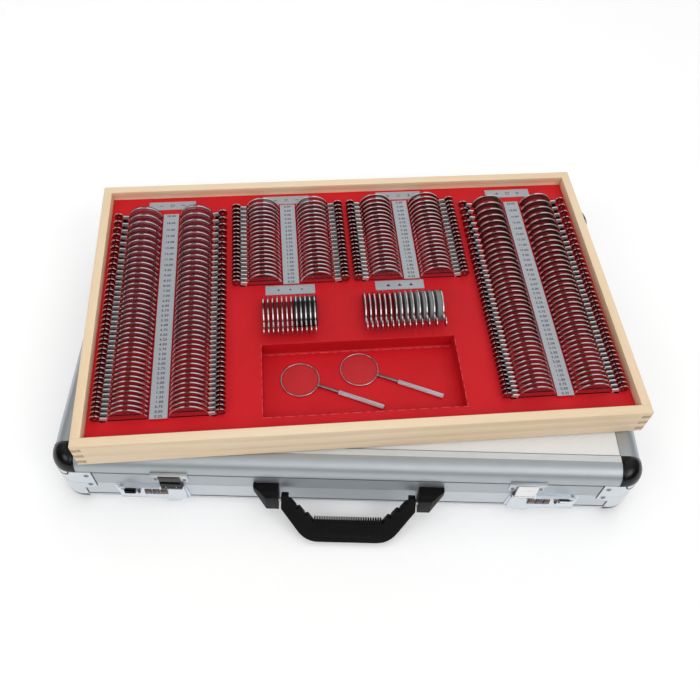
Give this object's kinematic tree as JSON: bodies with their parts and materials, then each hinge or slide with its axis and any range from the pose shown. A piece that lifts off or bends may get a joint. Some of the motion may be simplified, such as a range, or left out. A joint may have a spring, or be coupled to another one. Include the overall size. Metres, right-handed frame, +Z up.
{
  "type": "trial lens case",
  "caption": "Wooden tray of trial lenses in red-lined slots, with cross cylinders in a well, resting on its closed aluminium carrying case with handle and latches.",
  "frame": {"origin": "centre of the carrying case's underside, at the level of the rails that it stands on", "axes": "+X to the right and +Y to the back, seen from the handle's side, +Z up"},
  "size_m": [0.5597, 0.4136, 0.1234],
  "materials": {
    "aluminium_rail": "satin anodised, fine lengthwise grain",
    "aluminium_panel": "satin with a fine diagonal embossing",
    "black_plastic": "glossy black",
    "handle_plastic": "matte black",
    "steel_plate": "satin nickel-plated",
    "latch_chrome": "bright chrome",
    "dial_metal": "knurled nickel",
    "steel_pin": "plain steel",
    "lining": "dark felt on a thin shell",
    "pine": "pale pine, satin",
    "red_satin": "red satin over board",
    "label_plate": "satin, black printing",
    "lens_metal": "polished chrome rim round clear glass",
    "accessory_metal": "polished rim, some glasses opaque black",
    "ring_metal": "polished ring and stem",
    "grip_metal": "fine knurling",
    "clear_glass": "clear"
  },
  "bodies": {
    "case_base": {"base_panel": "aluminium_panel", "base_front_rail": "aluminium_rail", "base_rear_rail": "aluminium_rail", "base_side_rails": "aluminium_rail", "base_corner_caps": "black_plastic", "base_corner_plates": "steel_plate", "base_lining": "lining", "hinge_base_leaves": "steel_plate", "hinge_pins": "steel_pin", "latch_left_housing": "latch_chrome", "latch_right_housing": "latch_chrome", "latch_pins": "steel_pin", "handle_brackets": "handle_plastic", "handle_pins": "steel_pin"},
    "case_lid": {"lid_panel": "aluminium_panel", "lid_front_rail": "aluminium_rail", "lid_rear_rail": "aluminium_rail", "lid_side_rails": "aluminium_rail", "lid_corner_caps": "black_plastic", "lid_corner_plates": "steel_plate", "lid_lining": "lining", "hinge_lid_leaves": "steel_plate", "latch_catch_plates": "latch_chrome"},
    "handle": {"handle": "handle_plastic"},
    "left_hasp": {"latch_left_hasp": "latch_chrome"},
    "right_hasp": {"latch_right_hasp": "latch_chrome"},
    "left_slide_button": {"latch_left_slide_button": "latch_chrome"},
    "right_slide_button": {"latch_right_slide_button": "latch_chrome"},
    "left_dial_1": {"latch_left_dial_1": "dial_metal"},
    "left_dial_2": {"latch_left_dial_2": "dial_metal"},
    "left_dial_3": {"latch_left_dial_3": "dial_metal"},
    "right_dial_1": {"latch_right_dial_1": "dial_metal"},
    "right_dial_2": {"latch_right_dial_2": "dial_metal"},
    "right_dial_3": {"latch_right_dial_3": "dial_metal"},
    "tray": {"tray_front_board": "pine", "tray_rear_board": "pine", "tray_left_board": "pine", "tray_right_board": "pine", "tray_bottom_board": "pine", "tray_insert": "red_satin", "number_strips": "label_plate", "header_plates": "label_plate", "concave_sphere_lenses": "lens_metal", "convex_sphere_lenses": "lens_metal", "concave_cylinder_lenses": "lens_metal", "convex_cylinder_lenses": "lens_metal", "prism_lenses": "lens_metal", "accessory_lenses": "accessory_metal"},
    "concave_sphere_lens": {"concave_sphere_lens": "lens_metal"},
    "convex_sphere_lens": {"convex_sphere_lens": "lens_metal"},
    "concave_cylinder_lens": {"concave_cylinder_lens": "lens_metal"},
    "convex_cylinder_lens": {"convex_cylinder_lens": "lens_metal"},
    "prism_lens": {"prism_lens": "lens_metal"},
    "accessory_lens": {"accessory_lens": "accessory_metal"},
    "cross_cylinder_left": {"cross_cylinder_left_ring": "ring_metal", "cross_cylinder_left_glass": "clear_glass", "cross_cylinder_left_grip": "grip_metal"},
    "cross_cylinder_right": {"cross_cylinder_right_ring": "ring_metal", "cross_cylinder_right_glass": "clear_glass", "cross_cylinder_right_grip": "grip_metal"}
  },
  "joints": [
    {"name": "lid_hinge", "type": "hinge", "parent": "case_base", "child": "case_lid", "pos_m": [0, 0.1842, 0.042], "axis": [-1, 0, 0], "range_deg": [0, 100]},
    {"name": "tray_lift", "type": "slide", "parent": "case_lid", "child": "tray", "axis": [0, 0, 1], "range_m": [0, 0.1]},
    {"name": "handle_swing", "type": "hinge", "parent": "case_base", "child": "handle", "pos_m": [0, -0.191, 0.036], "axis": [-1, 0, 0], "range_deg": [0, 133]},
    {"name": "left_hasp_hinge", "type": "hinge", "parent": "case_base", "child": "left_hasp", "pos_m": [-0.169, -0.1836, 0.0404], "axis": [1, 0, 0], "range_deg": [0, 100]},
    {"name": "left_slide_button_slide", "type": "slide", "parent": "case_base", "child": "left_slide_button", "axis": [-1, 0, 0], "range_m": [0, 0.0045], "stiffness_N_per_m": 60},
    {"name": "left_dial_1_spin", "type": "hinge", "parent": "case_base", "child": "left_dial_1", "pos_m": [-0.1778, -0.1812, 0.0318], "axis": [1, 0, 0], "continuous": true},
    {"name": "left_dial_2_spin", "type": "hinge", "parent": "case_base", "child": "left_dial_2", "pos_m": [-0.1853, -0.1812, 0.0318], "axis": [1, 0, 0], "continuous": true},
    {"name": "left_dial_3_spin", "type": "hinge", "parent": "case_base", "child": "left_dial_3", "pos_m": [-0.1928, -0.1812, 0.0318], "axis": [1, 0, 0], "continuous": true},
    {"name": "right_hasp_hinge", "type": "hinge", "parent": "case_base", "child": "right_hasp", "pos_m": [0.169, -0.1836, 0.0404], "axis": [1, 0, 0], "range_deg": [0, 100]},
    {"name": "right_slide_button_slide", "type": "slide", "parent": "case_base", "child": "right_slide_button", "axis": [1, 0, 0], "range_m": [0, 0.0045], "stiffness_N_per_m": 60},
    {"name": "right_dial_1_spin", "type": "hinge", "parent": "case_base", "child": "right_dial_1", "pos_m": [0.1778, -0.1812, 0.0318], "axis": [1, 0, 0], "continuous": true},
    {"name": "right_dial_2_spin", "type": "hinge", "parent": "case_base", "child": "right_dial_2", "pos_m": [0.1853, -0.1812, 0.0318], "axis": [1, 0, 0], "continuous": true},
    {"name": "right_dial_3_spin", "type": "hinge", "parent": "case_base", "child": "right_dial_3", "pos_m": [0.1928, -0.1812, 0.0318], "axis": [1, 0, 0], "continuous": true},
    {"name": "concave_sphere_lens_lift", "type": "slide", "parent": "tray", "child": "concave_sphere_lens", "axis": [0, 0, 1], "range_m": [0, 0.04]},
    {"name": "convex_sphere_lens_lift", "type": "slide", "parent": "tray", "child": "convex_sphere_lens", "axis": [0, 0, 1], "range_m": [0, 0.04]},
    {"name": "concave_cylinder_lens_lift", "type": "slide", "parent": "tray", "child": "concave_cylinder_lens", "axis": [0, 0, 1], "range_m": [0, 0.04]},
    {"name": "convex_cylinder_lens_lift", "type": "slide", "parent": "tray", "child": "convex_cylinder_lens", "axis": [0, 0, 1], "range_m": [0, 0.04]},
    {"name": "prism_lens_lift", "type": "slide", "parent": "tray", "child": "prism_lens", "axis": [0, 0, 1], "range_m": [0, 0.04]},
    {"name": "accessory_lens_lift", "type": "slide", "parent": "tray", "child": "accessory_lens", "axis": [0, 0, 1], "range_m": [0, 0.04]},
    {"name": "cross_cylinder_left_lift", "type": "slide", "parent": "tray", "child": "cross_cylinder_left", "axis": [0, 0, 1], "range_m": [0, 0.04]},
    {"name": "cross_cylinder_right_lift", "type": "slide", "parent": "tray", "child": "cross_cylinder_right", "axis": [0, 0, 1], "range_m": [0, 0.04]}
  ]
}
